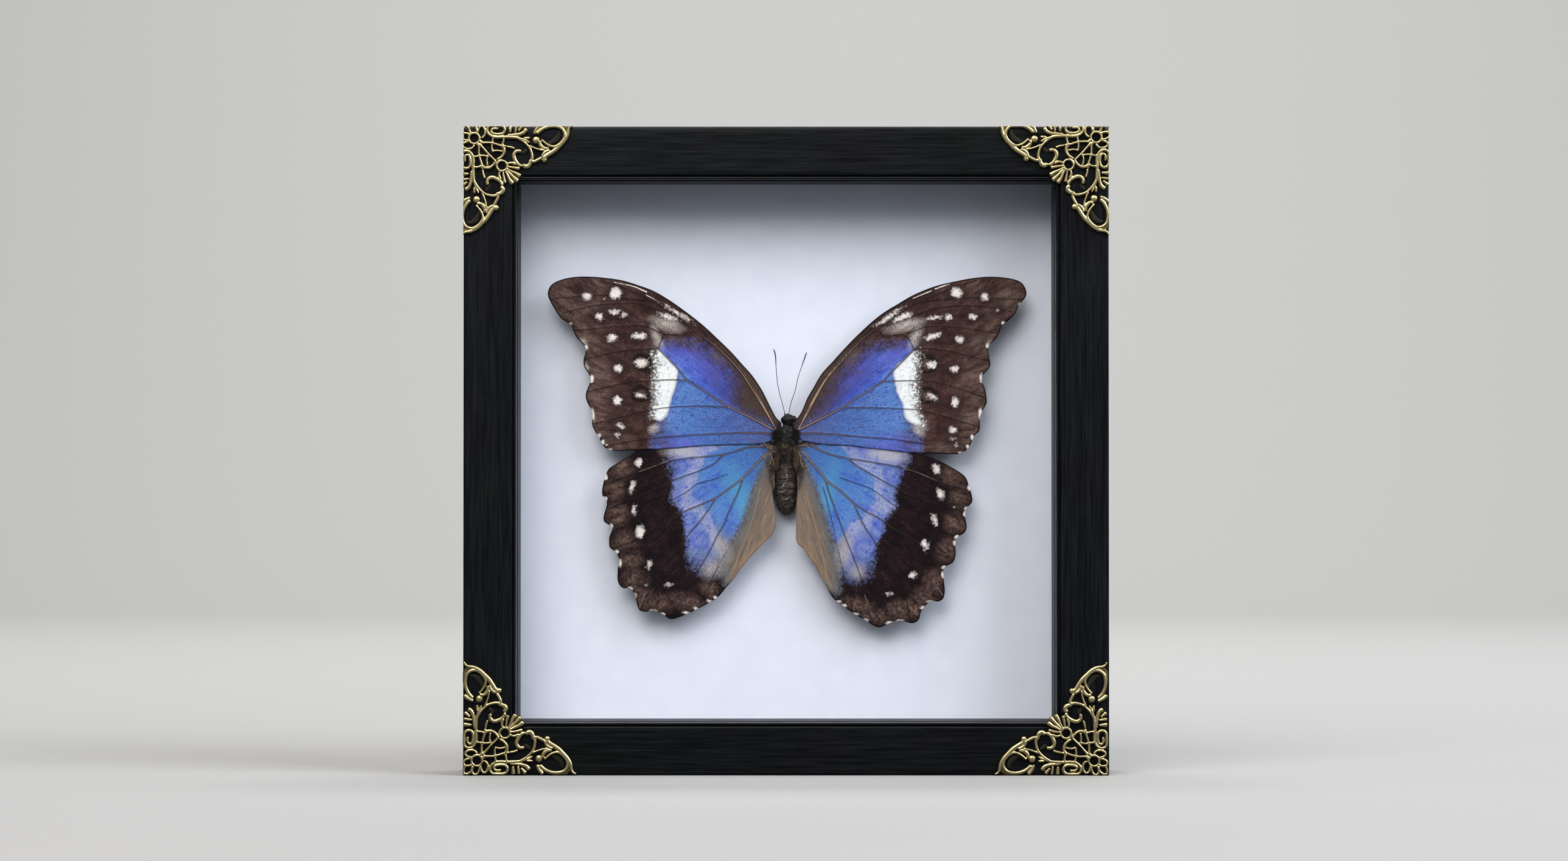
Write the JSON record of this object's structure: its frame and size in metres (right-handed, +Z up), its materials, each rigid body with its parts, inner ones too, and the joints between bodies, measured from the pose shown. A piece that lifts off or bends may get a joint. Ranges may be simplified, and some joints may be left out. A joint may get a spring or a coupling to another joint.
{
  "type": "framed butterfly specimen",
  "caption": "Square black wooden shadow box with brass filigree corners and a glass front, holding a large blue butterfly spread on a white card.",
  "frame": {"origin": "middle of the base, halfway through the depth", "axes": "+Z up, +X to the right and +Y to the back as the front is seen, so the glass faces -Y"},
  "size_m": [0.18, 0.0304, 0.181],
  "materials": {
    "black_wood": "black satin lacquer on close-grained wood",
    "glass": "clear float glass",
    "black_strip": "matt black painted strip",
    "white_card": "matt white card",
    "hardboard": "plain brown hardboard",
    "zinc_steel": "zinc plated steel",
    "antique_brass": "antiqued brass, bright on the ridges and black in the hollows",
    "body_chitin": "dark hairy chitin, dry",
    "wing_scales": "fine scales, satin blue and matt brown",
    "antenna": "black chitin"
  },
  "bodies": {
    "root": {"rail_bottom": "black_wood", "rail_top": "black_wood", "rail_left": "black_wood", "rail_right": "black_wood", "glass_pane": "glass", "spacer_bottom": "black_strip", "spacer_top": "black_strip", "spacer_left": "black_strip", "spacer_right": "black_strip", "backing_card": "white_card", "back_panel": "hardboard", "tab_bottom_a": "zinc_steel", "tab_bottom_b": "zinc_steel", "tab_top_a": "zinc_steel", "tab_top_b": "zinc_steel", "tab_left_a": "zinc_steel", "tab_left_b": "zinc_steel", "tab_right_a": "zinc_steel", "tab_right_b": "zinc_steel", "hanger_plate": "zinc_steel", "hanger_nail_left": "zinc_steel", "hanger_nail_right": "zinc_steel", "corner_ornament_bottom_left": "antique_brass", "corner_ornament_bottom_right": "antique_brass", "corner_ornament_top_left": "antique_brass", "corner_ornament_top_right": "antique_brass", "butterfly_head": "body_chitin", "butterfly_thorax": "body_chitin", "butterfly_abdomen": "body_chitin", "forewing_left": "wing_scales", "forewing_right": "wing_scales", "hindwing_left": "wing_scales", "hindwing_right": "wing_scales", "antenna_left": "antenna", "antenna_right": "antenna"}
  },
  "joints": []
}
